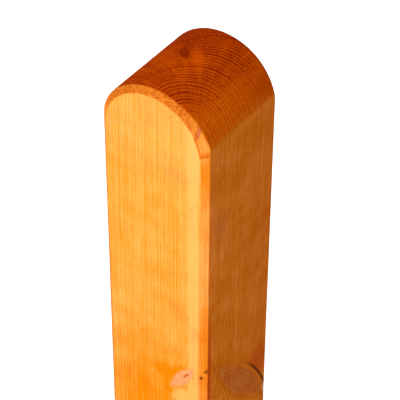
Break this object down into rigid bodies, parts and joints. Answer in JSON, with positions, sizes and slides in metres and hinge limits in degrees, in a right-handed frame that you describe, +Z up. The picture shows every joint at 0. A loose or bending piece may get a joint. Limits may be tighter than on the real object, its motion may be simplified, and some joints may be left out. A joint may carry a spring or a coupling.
{
  "type": "rounded timber fence post",
  "caption": "Square planed softwood post with a barrel-rounded head, chamfered edges, a flat sawn foot and spike knots at one corner.",
  "frame": {"origin": "centre of the sawn foot, where the post stands", "axes": "+Z up along the post; -Y is the front face, under the arch of the head; the barrel of the head runs along Y; +X is the right face, with the larger knot"},
  "size_m": [0.09, 0.09, 0.45],
  "materials": {
    "stained_trunk_wood": "planed, translucent orange stain, satin",
    "stained_knot_wood": "planed, translucent orange stain, satin"
  },
  "bodies": {
    "root": {"post": "stained_trunk_wood", "front_knot": "stained_knot_wood", "side_knot": "stained_knot_wood", "corner_knot_upper": "stained_knot_wood", "corner_knot_lower": "stained_knot_wood"}
  },
  "joints": []
}
